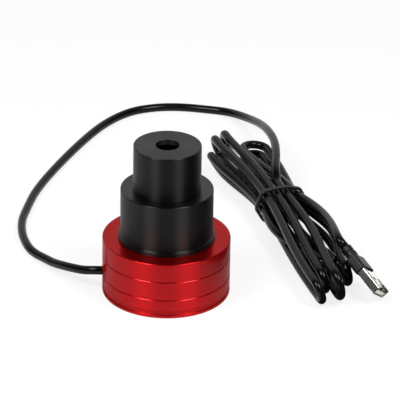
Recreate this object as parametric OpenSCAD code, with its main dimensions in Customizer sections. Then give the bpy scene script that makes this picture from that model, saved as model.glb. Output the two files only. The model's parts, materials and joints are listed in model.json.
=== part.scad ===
// Guide camera: push-in nosepiece, front barrel, grooved body, sensor board and a tied USB cord.
// Origin: centre of the base. +Z runs along the light path towards the nosepiece. Sizes in mm.

/* [Nosepiece] */
// Outside diameter of the push-in nosepiece
nose_d = 31.75; // [31.4:0.05:32]
// Height of the nosepiece above the front barrel
nose_h = 22; // [18:0.5:30]
// Diameter of the light hole in the end wall
nose_hole_d = 11.2; // [8:0.2:16]
// Thickness of the end wall
nose_end_t = 2.5; // [1.5:0.1:4]
// Bevel round the end face
nose_bevel = 0.4; // [0.2:0.1:0.8]
// Outside diameter of the thread spigot
nose_thread_d = 28; // [27:0.1:28.4]
// Length of the thread spigot
nose_thread_l = 5.5; // [4:0.5:6]
// Thread pitch of the nosepiece
nose_pitch = 1; // [0.5:0.25:1.25]

/* [Front barrel] */
// Width of the body's ledge round the front barrel
ledge_w = 8.35; // [7.1:0.05:8.6]
// Height of the front barrel
barrel_h = 25; // [22:0.5:34]
// How far the foot flange stands out
foot_out = 1; // [0.8:0.1:1.6]
// Height of the foot flange
foot_h = 2.2; // [1.8:0.1:3]
// Step from the barrel's wall in to its thread spigot
barrel_thread_in = 0.75; // [0.65:0.05:1.25]
// Length of the barrel's thread spigot
barrel_thread_l = 5; // [4:0.25:5.25]
// Thread pitch of the barrel
barrel_pitch = 0.75; // [0.5:0.25:1]
// Diameter of the window
window_d = 26; // [24:0.5:26]
// Thickness of the window
window_t = 1.1; // [0.8:0.1:1.5]

/* [Camera body] */
// Outside diameter of the body
body_d = 60.2; // [59.8:0.2:62]
// Height of the body with its back cover
body_h = 28; // [26:0.5:34]
// Thickness of the front wall
front_wall = 5.5; // [5.3:0.1:6.5]
// Thickness of the body's side wall
side_wall = 4.5; // [4.3:0.1:4.7]
// Height of the lower turned groove
groove_low = 9.4; // [8:0.1:12]
// Height of the upper turned groove
groove_high = 18.8; // [15:0.1:22]
// Width of each turned groove
groove_w = 0.8; // [0.8:0.1:1.6]
// Depth of each turned groove
groove_depth = 0.3; // [0.3:0.1:0.8]
// Height of the back cover's lip
lip_h = 1.6; // [1.4:0.1:2]
// Height of the joint band above the lip
band_h = 2.4; // [2:0.1:3]
// Depth of the joint band
band_depth = 0.5; // [0.3:0.1:0.8]

/* [Sensor board] */
// Length of the board standoffs
standoff_l = 5; // [4:0.5:6]
// Thickness of the board
board_t = 1.6; // [1:0.2:2]
// Side of the sensor package
sensor_w = 12; // [10:0.5:14]
// Height of the sensor package
sensor_h = 1.6; // [1.2:0.1:2]

/* [Cord] */
// Diameter of the cord jacket
cord_d = 4.2; // [3.8:0.1:4.2]
// Height of the cord's exit above the base
cord_z = 9; // [8.5:0.25:10]
// Thickness of the band round the hank
tie_t = 1.6; // [1.2:0.1:1.8]
// Width of the band round the hank
tie_w = 2.2; // [1.5:0.1:4]

/* [Plug] */
// Length of the plug's metal shell
shell_l = 12.8; // [11.8:0.1:13]
// Width of the plug's metal shell
shell_w = 12; // [11.8:0.1:12.2]
// Thickness of the plug across the metal shell
shell_h = 4.5; // [4.4:0.1:4.6]
// Length of the overmould
grip_l = 8.8; // [8:0.2:10]
// Width of the overmould
grip_w = 13.2; // [12.8:0.2:14]
// Thickness of the overmould
grip_h = 5.8; // [5.6:0.1:6.6]

/* [Hidden] */
$fn = 96;
fit = 0.05;
gap = 0.15;
eps = 0.02;
cut = 1;

// Heights of the stacked parts
z_barrel = body_h;
z_nose = body_h + barrel_h;
z_top = z_nose + nose_h;
z_split = lip_h + band_h / 2;
z_wall = body_h - front_wall;

// Nosepiece
nose_r = nose_d / 2;
nose_spigot_r = nose_thread_d / 2;
spigot_wall = 1.6;
nose_bore_r = nose_spigot_r - spigot_wall;
oring_groove = 1.15;
oring_depth = 0.9;
nose_oring_r = 0.38;
thread_depth = 0.45;

// Front barrel
barrel_r = body_d / 2 - ledge_w;
foot_r = barrel_r + foot_out;
foot_top = 0.6;
barrel_spigot_r = barrel_r - barrel_thread_in;
barrel_wall = 4;
barrel_bore_r = barrel_spigot_r - barrel_wall;
rim = 0.5;
seat_spare = 1.5;
nose_seat_l = nose_thread_l + seat_spare;
seat_l = 3;
shelf_t = 2;
shelf_w = 2;
shelf_r = window_d / 2 - shelf_w;
z_seat = z_nose - nose_seat_l;
z_shelf = z_seat - seat_l;
gasket_t = 0.4;
ring_slot_w = 1.4;
ring_slot_depth = 0.8;
barrel_oring_r = 0.32;
barrel_groove = 1.1;
barrel_groove_depth = 0.8;

// Camera body
body_r = body_d / 2;
cavity_r = body_r - side_wall;
neck_r = body_r - band_depth;
groove_z = [groove_low, groove_high];
groove_flat = 0.2;
body_chamfer = 0.5;
cover_plug_wall = 2;
screw_inset = 2.3;
screw_circle = neck_r - screw_inset;
screw_count = 4;
screw_turn = 45;
screw_r = 1.2;
screw_head_r = 1.8;
screw_head_h = 1;
screw_sink = 0.15;
screw_l = 6.5;
drive_r = 0.9;
drive_depth = 0.7;

// Sensor board
standoff_count = 3;
standoff_turn = 90;
standoff_r = 2;
standoff_circle = cavity_r - standoff_r - 2 * gap;
stud_r = 1.1;
stud_l = 3;
stud_spare = 0.3;
board_gap = 0.4;
board_r = cavity_r - board_gap;
z_board = z_wall - standoff_l;
z_under = z_board - board_t;
screw_bite = 2.8;
board_screw_l = board_t + screw_bite;
board_head_r = 1.9;
board_head_h = 1.4;
die_w = 6;
die_t = 0.5;
package_wall = 1.7;
package_floor = 0.6;
pocket_w = sensor_w - 2 * package_wall;
z_die = z_board + package_floor;
lid_step = 0.5;
lid_t = 0.5;

// Parts on the underside of the board: centre, size
processor = [[board_r - 16.2, -3], [10, 10, 1.2]];
memory = [[5, 10], [5.2, 5, 1.6]];
crystal = [[13.5, 8], [5, 3.2, 1.2]];
regulators = [[[0, -13], [3, 1.7, 1.1]], [[6, -14], [3, 1.7, 1.1]]];
capacitor = [2, 1.2, 1.1];
capacitor_at = [[-2, -9], [2, -9], [-4, 10], [-1, 12], [board_r - 9.2, -10], [board_r - 8.2, 2]];

// Cord socket, its plug housing and the leads
socket = [7, 11, 5.6];
socket_x = -3;
socket_wall = 1;
socket_mouth = socket_x - socket[0];
lead_z = z_under - socket[2] / 2;
housing_out = 3.4;
housing_in = 4.6;
lead_d = 1;
lead_step = 2;
lead_spread = 0.65;
lead_turn = 3;
lead_straight = 0.3;
lead_rings = 6;

// Grommet, strain tie and cord tail
cord_r = cord_d / 2;
grommet_r = cord_r + 1.2;
grommet_flange_r = cord_r + 2.4;
grommet_flange_t = 1.2;
grommet_in = 0.7;
wall_clear = 0.2;
flange_x = wall_clear - sqrt(pow(cavity_r, 2) - pow(grommet_flange_r, 2));
cover_plug_h = cord_z - grommet_flange_r - 2 * gap - z_split;
strap_t = 0.9;
strap_w = 2.2;
strap_head = [strap_w, 3.6, 2.4];
strap_gap = 0.4;
strap_x = flange_x + grommet_flange_t + strap_gap;
tail_out = 1.2;
tail_x = strap_x + strap_w + tail_out;
z_table = cord_r + 2 * fit;

// Plug on the table: where the tip is, its heading, its dip and its roll
plug_tip = [101, -11.8, 6];
plug_heading = -50;
plug_dip = 27;
plug_roll = -39;
boot_l = 7;
boot_r = 2.8;
boot_end_r = 2.6;
boot_ribs = 2;
boot_rib = boot_l / boot_ribs;
boot_rib_gap = 0.8;
boot_core_r = 2.3;
shell_t = 0.35;
tongue_h = 1.9;
tongue_back = 0.6;
tongue_z = shell_t + gap - shell_h / 2;
contact_w = 1;
contact_t = 0.2;
contact_back = 1;
contact_l = [7.4, 6.4, 6.4, 7.4];
contact_y = [-3.5, -1, 1, 3.5];
latch = [2.5, 2];
latch_x = 5.2;
latch_y = 2.9;
grip_corner = 1.8;
plug_l = shell_l + grip_l + boot_l;
plug_dir = [cos(plug_dip) * cos(plug_heading), cos(plug_dip) * sin(plug_heading), -sin(plug_dip)];
plug_rear = plug_tip - plug_l * plug_dir;

// Hank: its middle on the table, its heading, and the slots of its strands in the waist (across, up)
hank_at = [55.5, 71];
hank_heading = -72;
table_gap = 0.2;
row_1 = table_gap + tie_t + 2 * gap + cord_r;
row_2 = row_1 + 5.5;
row_3 = row_1 + 11.7;
slots = [
    [1.9, row_3],
    [2.4, row_1],
    [-2.8, row_3],
    [-2.4, row_1],
    [-7.7, row_3 - 0.8],
    [-7.1, row_1 + 0.9],
    [-9.8, row_2],
    [3.4, row_2 + 0.9],
    [6.9, row_1 + 1.9],
    [9.2, row_2 + 0.5],
    [7, row_3 - 1.3]
];
// Turns of the hank: end, reach, across, up, radius, lean, swell of its legs
turns = [
    [1, 89.4, -1.3, 8.8, 6.3, 101, 1.9], [-1, 77.8, -4.4, 10.3, 4.6, -80, 1.2],
    [1, 80.6, -5.8, 7.7, 5, 102, 0.3], [-1, 73.2, -10.4, 10, 5.6, -72, 0.9],
    [1, 89.8, -11.1, 7.4, 4.9, 107, -0.7], [-1, 62.4, -15.1, 7.3, 4.6, -59, 0.6],
    [1, 62.2, 2.5, 8.1, 4.3, 171, -5.2], [-1, 72, 8.1, 3, 5.1, 180, 2.4],
    [1, 75.4, 7.7, 6.9, 4.5, -83, 5.5], [-1, 66.9, 6.7, 10.8, 6.3, -5, 0.4],
];
hank_start = -7;
run_rings = 3;
turn_rings = 6;
end_rings = 7;
end_leave = [93, 30, 5];
end_enter = 22;
hank_sides = 6;
lead_sides = 8;
lead_steps = 2;

// Route of the free cord from the grommet to the hank
lead_route = [
    [-body_r, 0, cord_z],
    [-body_r - 4, 0, cord_z],
    [-39, 2, 8],
    [-44, 6, 6.8],
    [-49, 11, 5.4],
    [-54, 17, 3.8],
    [-58.5, 23, 2.9],
    [-63, 29, z_table],
    [-67, 36, z_table],
    [-70.5, 49, z_table],
    [-71.5, 63, z_table],
    [-70, 76.5, z_table],
    [-66.5, 96, z_table],
    [-59.5, 119, z_table],
    [-47.5, 150.5, z_table],
    [-35.5, 175.5, z_table],
    [-23, 191, z_table],
    [-10, 197.5, z_table],
    [3, 199, z_table],
    [17, 197, z_table],
    [30, 192, 2.9],
    [40, 177, 6.6],
    [46.4, 157, 12.5],
    [50, 138.5, 17.2],
    [52.4, 122, 19.6],
    [53, 107, 20.2],
    [52.6, 91.5, 19.2]
];

function unit(a) = a / norm(a);
function smooth(t) = t * t * (3 - 2 * t);
function total(a) = a * [for (x = a) 1];
function through(a, b, c, d, t) = 0.5 * (2 * b + (c - a) * t + (2 * a - 5 * b + 4 * c - d) * t * t
    + (3 * b - a - 3 * c + d) * t * t * t);
function hermite(a, ta, b, tb, t) = a + smooth(t) * (b - a) + t * pow(1 - t, 2) * ta - t * t * (1 - t) * tb;

// A smooth curve through points that ends in a given direction, with a few steps from point to point
function curve(p, way, steps) = let (
    n = len(p) - 1,
    q = concat(p, [p[n - 1] + 2 * norm(p[n] - p[n - 1]) * way]))
    concat([for (i = [0:n - 1]) for (k = [0:steps - 1])
        through(q[max(i - 1, 0)], q[i], q[i + 1], q[i + 2], k / steps)], [p[n]]);

// Directions along a path, and a side vector carried along it without twist
function headings(p) = let (n = len(p) - 1)
    [for (i = [0:n]) unit(unit(p[min(i + 1, n)] - p[min(i, n - 1)])
        + unit(p[max(i, 1)] - p[max(i - 1, 0)]))];
function carried(v, t) = unit(v - (v * t) * t);
function sides(h) = [for (i = 0, v = carried([0, 0, 1], h[0]); i < len(h);
    i = i + 1, v = carried(v, h[min(i, len(h) - 1)])) v];

// A round tube along a path
module tube(p, r, n) {
    h = headings(p);
    v = sides(h);
    rings = len(p);
    pts = [for (i = [0:rings - 1]) for (k = [0:n - 1])
        p[i] + r * (cos(360 * k / n) * v[i] + sin(360 * k / n) * cross(h[i], v[i]))];
    walls = [for (i = [0:rings - 2]) for (k = [0:n - 1]) let (a = i * n + k, b = i * n + (k + 1) % n)
        each [[a, a + n, b], [b, a + n, b + n]]];
    ends = [[for (k = [0:n - 1]) k], [for (k = [n - 1:-1:0]) (rings - 1) * n + k]];
    polyhedron(points = pts, faces = concat(walls, ends), convexity = 10);
}

// Hank frame: along, across and up to the shared frame, and back
along = [cos(hank_heading), sin(hank_heading), 0];
across = [-sin(hank_heading), cos(hank_heading), 0];
function placed(q) = [hank_at[0], hank_at[1], 0] + q[0] * along + q[1] * across + [0, 0, q[2]];
function in_hank(p) = let (e = p - [hank_at[0], hank_at[1], 0]) [e * along, e * across, p[2]];
function turned(e) = [e * along, e * across, e[2]];

// A turn's leg: its first leg is on side 1 and its last leg on side -1
function leg(k, side) = let (a = turns[k])
    [a[0] * (a[1] - a[4]), a[2] + side * a[4] * cos(a[5]), a[3] + side * a[4] * sin(a[5])];
function waist(j) = [0, slots[j][0], slots[j][1]];
function swell(k, t) = turns[k][6] * pow(4 * t * (1 - t), 2);
function run(k, side, j, t) = let (a = leg(k, side), s = waist(j))
    [a[0] * t, s[1] + (a[1] - s[1]) * smooth(t) + swell(k, t), s[2] + (a[2] - s[2]) * smooth(t)];
function bend(k, f) = let (a = turns[k]) [a[0] * (a[1] - a[4] + a[4] * sin(f)),
    a[2] + a[4] * cos(f) * cos(a[5]), a[3] + a[4] * cos(f) * sin(a[5])];
last = len(slots) - 1;
plug_end = in_hank(plug_rear);
plug_way = turned(plug_dir);
end_from = plug_end - cord_d * plug_way;
lead_end = [hank_start, slots[0][0], slots[0][1]];
hank_path = concat(
    [lead_end],
    [for (j = [0:last]) each concat(
        j > 0 ? [for (i = [run_rings:-1:1]) run(j - 1, -1, j, i / run_rings)] : [],
        [waist(j)],
        j < last ? [for (i = [1:run_rings]) run(j, 1, j, i / run_rings)] : [],
        j < last ? [for (i = [1:turn_rings - 1]) bend(j, 180 * i / turn_rings)] : [])],
    [for (i = [1:end_rings])
        hermite(waist(last), end_leave, end_from, end_enter * plug_way, i / end_rings)],
    [plug_end]);
hank_points = [for (q = hank_path) placed(q)];
lead_points = concat(
    curve(concat(lead_route, [placed(lead_end - [cord_d, 0, 0])]), along, lead_steps),
    [placed(lead_end)]);

// Least distance between two straight stretches
function held(x) = min(max(x, 0), 1);
function stretch_gap(p, q, r, s) = let (a = q - p, b = s - r, w = p - r, aa = a * a, bb = b * b,
    ab = a * b, aw = a * w, bw = b * w, den = aa * bb - ab * ab,
    f = den > eps ? held((ab * bw - aw * bb) / den) : 0,
    g = held((ab * f + bw) / bb), f2 = held((ab * g - aw) / aa)) norm(p + f2 * a - r - g * b);
function self_gap(p, skip) = min([for (i = [0:len(p) - 2 - skip]) for (j = [i + skip:len(p) - 2])
    stretch_gap(p[i], p[i + 1], p[j], p[j + 1])]);
function path_length(p) = total([for (i = [1:len(p) - 1]) norm(p[i] - p[i - 1])]);
echo(hank_gap = self_gap(hank_points, turn_rings - 1) - cord_d, hank_length = path_length(hank_points),
    lead_length = path_length(lead_points));

// A turned thread outline: crest points with a root between them, going up
function thread_line(r, z0, l, pitch) = [for (i = [0:floor(l / pitch) - 1])
    each [[r, z0 + i * pitch], [r - thread_depth, z0 + (i + 0.5) * pitch]]];

module turned_part(points) {
    rotate_extrude() polygon(points);
}

module around(count, turn, circle_r) {
    for (i = [0:count - 1])
        rotate([0, 0, turn + i * 360 / count]) translate([circle_r, 0, 0]) children();
}

module slab(at, size, z) {
    translate([at[0] - size[0] / 2, at[1] - size[1] / 2, z]) cube(size);
}

module in_plug() {
    translate(plug_tip) rotate([0, plug_dip, plug_heading]) rotate([plug_roll, 0, 0]) children();
}

module block(x0, l, w, h) {
    translate([x0, -w / 2, -h / 2]) cube([l, w, h]);
}

module nosepiece() color([0.09, 0.09, 0.1]) turned_part(concat(
    [[nose_bore_r, z_nose - nose_thread_l]],
    thread_line(nose_spigot_r, z_nose - nose_thread_l, nose_thread_l - nose_pitch, nose_pitch),
    [[nose_spigot_r, z_nose - nose_pitch],
    [nose_spigot_r, z_nose + oring_depth],
    [nose_spigot_r + oring_groove, z_nose + oring_depth],
    [nose_spigot_r + oring_groove, z_nose + fit],
    [nose_r, z_nose + fit],
    [nose_r, z_top - nose_bevel],
    [nose_r - nose_bevel, z_top],
    [nose_hole_d / 2, z_top],
    [nose_hole_d / 2, z_top - nose_end_t],
    [nose_bore_r, z_top - nose_end_t]]));

module nosepiece_o_ring() color([0.05, 0.05, 0.05])
    translate([0, 0, z_nose + oring_depth / 2 + fit / 2]) rotate_extrude()
        translate([nose_spigot_r + oring_groove / 2 + fit, 0]) circle(r = nose_oring_r, $fn = 32);

module barrel() color([0.09, 0.09, 0.1]) turned_part(concat(
    [[barrel_bore_r, z_barrel - barrel_thread_l]],
    thread_line(barrel_spigot_r, z_barrel - barrel_thread_l, barrel_thread_l - barrel_pitch, barrel_pitch),
    [[barrel_spigot_r, z_barrel - barrel_pitch],
    [barrel_spigot_r, z_barrel + barrel_groove_depth],
    [barrel_spigot_r + barrel_groove, z_barrel + barrel_groove_depth],
    [barrel_spigot_r + barrel_groove, z_barrel + fit],
    [foot_r, z_barrel + fit],
    [foot_r, z_barrel + foot_h - foot_top],
    [foot_r - foot_top, z_barrel + foot_h],
    [barrel_r, z_barrel + foot_h],
    [barrel_r, z_nose - rim],
    [barrel_r - rim, z_nose],
    [nose_spigot_r + fit, z_nose],
    [nose_spigot_r + fit, z_seat],
    [window_d / 2 + gap, z_seat],
    [window_d / 2 + gap, z_shelf],
    [shelf_r, z_shelf],
    [shelf_r, z_shelf - shelf_t],
    [barrel_bore_r, z_shelf - shelf_t]]));

module barrel_o_ring() color([0.05, 0.05, 0.05])
    translate([0, 0, z_barrel + barrel_groove_depth / 2 + fit / 2]) rotate_extrude()
        translate([barrel_spigot_r + barrel_groove / 2 + fit, 0]) circle(r = barrel_oring_r, $fn = 32);

module window_gasket() color([0.06, 0.06, 0.06]) translate([0, 0, z_shelf]) difference() {
    cylinder(r = window_d / 2, h = gasket_t);
    translate([0, 0, -cut]) cylinder(r = shelf_r + gap, h = gasket_t + 2 * cut);
}

module window() color([0.6, 0.75, 0.8, 0.4]) translate([0, 0, z_shelf + gasket_t])
    cylinder(r = window_d / 2, h = window_t);

module window_ring() color([0.12, 0.12, 0.13]) difference() {
    z0 = z_shelf + gasket_t + window_t;
    translate([0, 0, z0]) cylinder(r = window_d / 2 + gap - fit, h = z_seat - z0);
    translate([0, 0, z0 - cut]) cylinder(r = shelf_r + gap, h = seat_l + cut);
    translate([-window_d, -ring_slot_w / 2, z_seat - ring_slot_depth])
        cube([2 * window_d, ring_slot_w, ring_slot_depth + cut]);
}

module camera_body() color([0.62, 0.06, 0.08]) difference() {
    turned_part(concat(
        [[cavity_r, z_split + eps],
        [neck_r, z_split + eps],
        [neck_r, lip_h + band_h - band_depth],
        [body_r, lip_h + band_h]],
        [for (z = groove_z) each [[body_r, z - groove_w / 2], [body_r - groove_depth, z - groove_flat / 2],
            [body_r - groove_depth, z + groove_flat / 2], [body_r, z + groove_w / 2]]],
        [[body_r, body_h - body_chamfer],
        [body_r - body_chamfer, body_h],
        [barrel_spigot_r + fit, body_h],
        [barrel_spigot_r + fit, z_wall],
        [cavity_r, z_wall]]));
    translate([-body_r - cut, 0, cord_z]) rotate([0, 90, 0])
        cylinder(r = grommet_r + fit, h = body_r + flange_x + cut);
    around(screw_count, screw_turn, screw_circle) translate([0, 0, z_split - cut])
        cylinder(r = screw_r + fit, h = screw_l + cut, $fn = 32);
    around(standoff_count, standoff_turn, standoff_circle) translate([0, 0, z_wall - cut])
        cylinder(r = stud_r + fit, h = stud_l + stud_spare + cut, $fn = 32);
}

module back_cover() color([0.6, 0.06, 0.08]) difference() {
    turned_part([[0, 0],
        [body_r - rim, 0],
        [body_r, rim],
        [body_r, lip_h],
        [neck_r, lip_h + band_depth],
        [neck_r, z_split],
        [cavity_r - gap, z_split],
        [cavity_r - gap, z_split + cover_plug_h],
        [cavity_r - gap - cover_plug_wall, z_split + cover_plug_h],
        [cavity_r - gap - cover_plug_wall, z_split],
        [0, z_split]]);
    around(screw_count, screw_turn, screw_circle) {
        translate([0, 0, -cut]) cylinder(r = screw_r + gap, h = z_split + 2 * cut, $fn = 32);
        translate([0, 0, -eps]) cylinder(r1 = screw_head_r + screw_sink + gap, r2 = screw_r + gap,
            h = screw_head_h + screw_sink + gap, $fn = 32);
    }
}

module back_cover_screws() color([0.16, 0.16, 0.17]) around(screw_count, screw_turn, screw_circle)
    translate([0, 0, screw_sink]) difference() {
        union() {
            cylinder(r1 = screw_head_r, r2 = screw_r, h = screw_head_h, $fn = 32);
            cylinder(r = screw_r, h = screw_l, $fn = 32);
        }
        translate([0, 0, -cut]) cylinder(r = drive_r, h = drive_depth + cut, $fn = 6);
    }

module board_standoffs() color([0.75, 0.62, 0.35]) around(standoff_count, standoff_turn, standoff_circle)
    translate([0, 0, z_board]) difference() {
        union() {
            cylinder(r = standoff_r, h = standoff_l, $fn = 6);
            cylinder(r = stud_r, h = standoff_l + stud_l, $fn = 32);
        }
        translate([0, 0, -cut]) cylinder(r = stud_r + fit, h = screw_bite + stud_spare + cut, $fn = 32);
    }

module sensor_board() color([0.05, 0.3, 0.16]) difference() {
    translate([0, 0, z_under]) cylinder(r = board_r, h = board_t);
    around(standoff_count, standoff_turn, standoff_circle) translate([0, 0, z_under - cut])
        cylinder(r = stud_r + gap, h = board_t + 2 * cut, $fn = 32);
}

module board_screws() color([0.7, 0.7, 0.72]) around(standoff_count, standoff_turn, standoff_circle)
    translate([0, 0, z_under]) difference() {
        union() {
            cylinder(r = stud_r, h = board_screw_l, $fn = 32);
            translate([0, 0, -board_head_h]) cylinder(r = board_head_r, h = board_head_h, $fn = 32);
        }
        translate([0, 0, -board_head_h - cut]) cylinder(r = drive_r, h = drive_depth + cut, $fn = 6);
    }

module sensor_package() color([0.12, 0.12, 0.13]) difference() {
    slab([0, 0], [sensor_w, sensor_w, sensor_h], z_board);
    slab([0, 0], [pocket_w, pocket_w, sensor_h], z_die);
}

module sensor_die() color([0.25, 0.3, 0.38])
    slab([0, 0], [die_w, die_w, die_t], z_die);

module sensor_glass() color([0.7, 0.8, 0.85, 0.4])
    slab([0, 0], [sensor_w - 2 * lid_step, sensor_w - 2 * lid_step, lid_t], z_board + sensor_h);

module image_processor() color([0.1, 0.1, 0.1])
    slab(processor[0], processor[1], z_under - processor[1][2]);

module memory_chip() color([0.1, 0.1, 0.11])
    slab(memory[0], memory[1], z_under - memory[1][2]);

module crystal_can() color([0.78, 0.78, 0.8])
    slab(crystal[0], crystal[1], z_under - crystal[1][2]);

module regulator_chips() color([0.11, 0.11, 0.11])
    for (a = regulators) slab(a[0], a[1], z_under - a[1][2]);

module capacitors() color([0.6, 0.5, 0.38])
    for (a = capacitor_at) slab(a, capacitor, z_under - capacitor[2]);

module cord_socket() color([0.9, 0.88, 0.82]) difference() {
    slab([socket_x - socket[0] / 2, 0], socket, z_under - socket[2]);
    translate([socket_mouth - cut, socket_wall - socket[1] / 2, lead_z + socket_wall - socket[2] / 2])
        cube([housing_in + cut + gap, socket[1] - 2 * socket_wall, socket[2] - 2 * socket_wall]);
}

module cord_housing() color([0.92, 0.9, 0.85]) {
    w = socket[1] - 2 * (socket_wall + gap);
    h = socket[2] - 2 * (socket_wall + gap);
    translate([socket_mouth - housing_out, -w / 2, lead_z - h / 2]) cube([housing_out + housing_in, w, h]);
}

// One lead from the end of the jacket to the back of the housing
module lead(y0, z0, y1) {
    x1 = socket_mouth - housing_out;
    a = [tail_x, y0, cord_z + z0];
    b = [x1, y1, lead_z];
    pull = [lead_turn, 0, 0];
    straight = [lead_straight, 0, 0];
    p = concat([a],
        [for (i = [0:lead_rings]) hermite(a + straight, pull, b - straight, pull, i / lead_rings)],
        [b]);
    tube(p, lead_d / 2, lead_sides);
}

module lead_red() color([0.75, 0.08, 0.08]) lead(-lead_spread, lead_spread, -lead_step / 2);
module lead_white() color([0.9, 0.9, 0.88]) lead(lead_spread, lead_spread, lead_step / 2);
module lead_green() color([0.1, 0.5, 0.2]) lead(lead_spread, -lead_spread, 1.5 * lead_step);
module lead_black() color([0.07, 0.07, 0.07]) lead(-lead_spread, -lead_spread, -1.5 * lead_step);

module cord_grommet() color([0.06, 0.06, 0.06]) translate([0, 0, cord_z]) rotate([0, 90, 0]) difference() {
    union() {
        translate([0, 0, grommet_in - body_r])
            cylinder(r = grommet_r, h = body_r - grommet_in + flange_x + eps);
        translate([0, 0, flange_x]) cylinder(r = grommet_flange_r, h = grommet_flange_t);
    }
    translate([0, 0, -body_r]) cylinder(r = cord_r + fit, h = body_r);
}

module strain_tie() color([0.85, 0.85, 0.85]) translate([strap_x, 0, cord_z]) difference() {
    union() {
        rotate([0, 90, 0]) cylinder(r = cord_r + strap_t, h = strap_w);
        translate([0, -strap_head[1] / 2, -cord_r - strap_head[2]]) cube(strap_head);
    }
    translate([-cut, 0, 0]) rotate([0, 90, 0]) cylinder(r = cord_r + fit, h = strap_w + 2 * cut);
}

module cord_tail() color([0.07, 0.07, 0.07]) translate([-body_r, 0, cord_z]) rotate([0, 90, 0])
    cylinder(r = cord_r, h = body_r + tail_x);

module cord_lead() color([0.07, 0.07, 0.07]) tube(lead_points, cord_r, lead_sides);

module cord_hank() color([0.07, 0.07, 0.07]) tube(hank_points, cord_r, hank_sides);

module waist_outline(r) {
    hull() for (s = slots) translate(s) circle(r = r, $fn = 24);
}

module cord_tie() color([0.05, 0.05, 0.05]) translate([hank_at[0], hank_at[1], 0])
    rotate([90, 0, 90 + hank_heading]) translate([0, 0, -tie_w / 2]) linear_extrude(tie_w) difference() {
        waist_outline(cord_r + 2 * gap + tie_t);
        waist_outline(cord_r + 2 * gap);
    }

module plug_boot() color([0.1, 0.1, 0.1]) in_plug() translate([-plug_l, 0, 0]) rotate([0, 90, 0]) {
    cylinder(r = boot_core_r, h = boot_l, $fn = 48);
    for (i = [0:boot_ribs - 1]) translate([0, 0, i * boot_rib])
        cylinder(r = boot_end_r + (boot_r - boot_end_r) * (i + 1) / boot_ribs, h = boot_rib - boot_rib_gap,
            $fn = 48);
}

module grip_outline() {
    w = grip_w - 2 * grip_corner;
    h = grip_h - 2 * grip_corner;
    square([grip_h, w], center = true);
    square([h, grip_w], center = true);
    for (x = [-1, 1]) for (y = [-1, 1]) translate([x * h / 2, y * w / 2]) circle(r = grip_corner, $fn = 32);
}

module plug_grip() color([0.13, 0.12, 0.12]) in_plug() translate([-shell_l - grip_l, 0, 0])
    rotate([0, 90, 0]) linear_extrude(grip_l) grip_outline();

module plug_shell() color([0.8, 0.8, 0.8]) in_plug() difference() {
    block(-shell_l, shell_l, shell_w, shell_h);
    block(-shell_l - cut, shell_l + 2 * cut, shell_w - 2 * shell_t, shell_h - 2 * shell_t);
    for (y = [-1, 1]) translate([-latch_x - latch[1], y * latch_y - latch[0] / 2, -shell_h])
        cube([latch[1], latch[0], 2 * shell_h]);
}

module plug_tongue() color([0.9, 0.9, 0.9]) in_plug()
    translate([-shell_l, shell_t + gap - shell_w / 2, tongue_z])
        cube([shell_l - tongue_back, shell_w - 2 * (shell_t + gap), tongue_h]);

module plug_contacts() color([0.85, 0.68, 0.3]) in_plug() for (i = [0:3])
    translate([-tongue_back - contact_back, contact_y[i] - contact_w / 2, tongue_z + tongue_h])
        translate([-contact_l[i], 0, 0]) cube([contact_l[i], contact_w, contact_t]);

nosepiece();
nosepiece_o_ring();
barrel();
barrel_o_ring();
window_gasket();
window();
window_ring();
camera_body();
back_cover();
back_cover_screws();
board_standoffs();
sensor_board();
board_screws();
sensor_package();
sensor_die();
sensor_glass();
image_processor();
memory_chip();
crystal_can();
regulator_chips();
capacitors();
cord_socket();
cord_housing();
lead_red();
lead_white();
lead_green();
lead_black();
cord_grommet();
strain_tie();
cord_tail();
cord_lead();
cord_hank();
cord_tie();
plug_boot();
plug_grip();
plug_shell();
plug_tongue();
plug_contacts();
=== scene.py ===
# %% [markdown]
# # A guide camera with its cord tied in a hank
# This lesson dresses a small telescope camera: three turned aluminium rings stacked on each other, black on
# black on red, and a thin black cord that ends in a plug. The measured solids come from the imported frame, and
# the lesson keeps to their sizes. It adds what a solid model lacks: rounded edges, a cord that bends, and
# finishes that catch the light as anodised metal and soft vinyl do.

# %% Load the frame
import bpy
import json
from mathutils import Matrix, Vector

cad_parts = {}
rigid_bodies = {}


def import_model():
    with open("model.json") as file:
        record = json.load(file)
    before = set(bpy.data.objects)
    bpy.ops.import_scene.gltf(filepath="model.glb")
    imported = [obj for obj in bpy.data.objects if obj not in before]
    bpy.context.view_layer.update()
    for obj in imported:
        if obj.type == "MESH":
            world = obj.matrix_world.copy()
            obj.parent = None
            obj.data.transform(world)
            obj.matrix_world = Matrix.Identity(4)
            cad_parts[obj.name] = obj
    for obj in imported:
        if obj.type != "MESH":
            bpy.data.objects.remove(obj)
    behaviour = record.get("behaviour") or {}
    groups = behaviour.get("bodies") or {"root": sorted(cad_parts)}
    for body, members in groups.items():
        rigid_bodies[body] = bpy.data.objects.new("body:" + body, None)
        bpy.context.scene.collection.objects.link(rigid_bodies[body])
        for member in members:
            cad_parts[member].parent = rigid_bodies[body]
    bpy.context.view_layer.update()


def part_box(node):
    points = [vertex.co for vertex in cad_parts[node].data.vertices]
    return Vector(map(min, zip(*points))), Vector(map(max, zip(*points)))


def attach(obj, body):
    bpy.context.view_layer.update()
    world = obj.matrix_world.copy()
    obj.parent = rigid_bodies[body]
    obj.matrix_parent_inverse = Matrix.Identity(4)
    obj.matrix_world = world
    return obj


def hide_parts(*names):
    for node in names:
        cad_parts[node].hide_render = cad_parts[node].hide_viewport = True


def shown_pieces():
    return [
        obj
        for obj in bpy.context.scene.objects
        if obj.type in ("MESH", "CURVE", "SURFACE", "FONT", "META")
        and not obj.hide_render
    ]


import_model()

# %% Tools of the lesson
import json
import math

import bpy
import numpy as np
from mathutils import Matrix, Vector

MM = 0.001

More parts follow.
